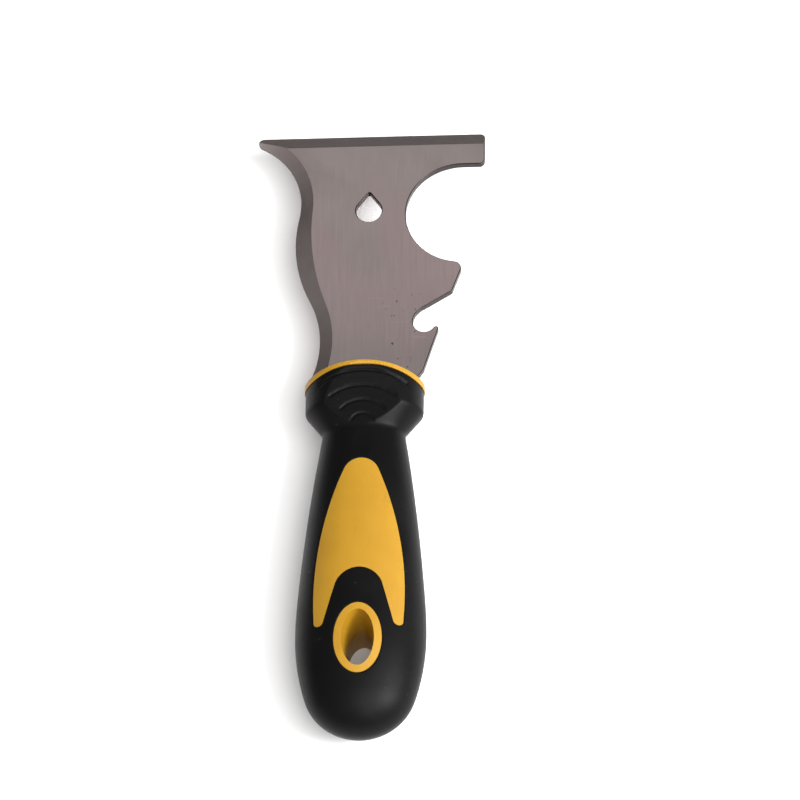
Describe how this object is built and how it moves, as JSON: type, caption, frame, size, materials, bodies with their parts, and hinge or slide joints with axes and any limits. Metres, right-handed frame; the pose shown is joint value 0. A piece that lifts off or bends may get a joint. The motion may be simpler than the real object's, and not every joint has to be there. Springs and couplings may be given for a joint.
{
  "type": "painters multi tool",
  "caption": "Flat steel painters tool with a beveled scraping edge, scraping hook, roller notch, can notch, nail hole and a two-colour comfort handle with a hang hole.",
  "frame": {"origin": "centre of the tool's bounding box in plan, at its lowest point as it lies on its back", "axes": "+Y from the handle's butt to the scraping edge, +Z out of the front face, the side with the panel and the ground bevel, +X to the side with the roller notch"},
  "size_m": [0.0635, 0.187, 0.0239],
  "materials": {
    "blade_steel": "lengthwise ground stainless steel with a darker ground bevel",
    "core_plastic": "satin moulded plastic, warm yellow",
    "rivet_steel": "plain steel",
    "grip_rubber": "soft satin moulded rubber, near black"
  },
  "bodies": {
    "root": {"blade": "blade_steel", "core_front_shell": "core_plastic", "core_back_shell": "core_plastic", "tang_rivets": "rivet_steel", "soft_grip": "grip_rubber"}
  },
  "joints": []
}
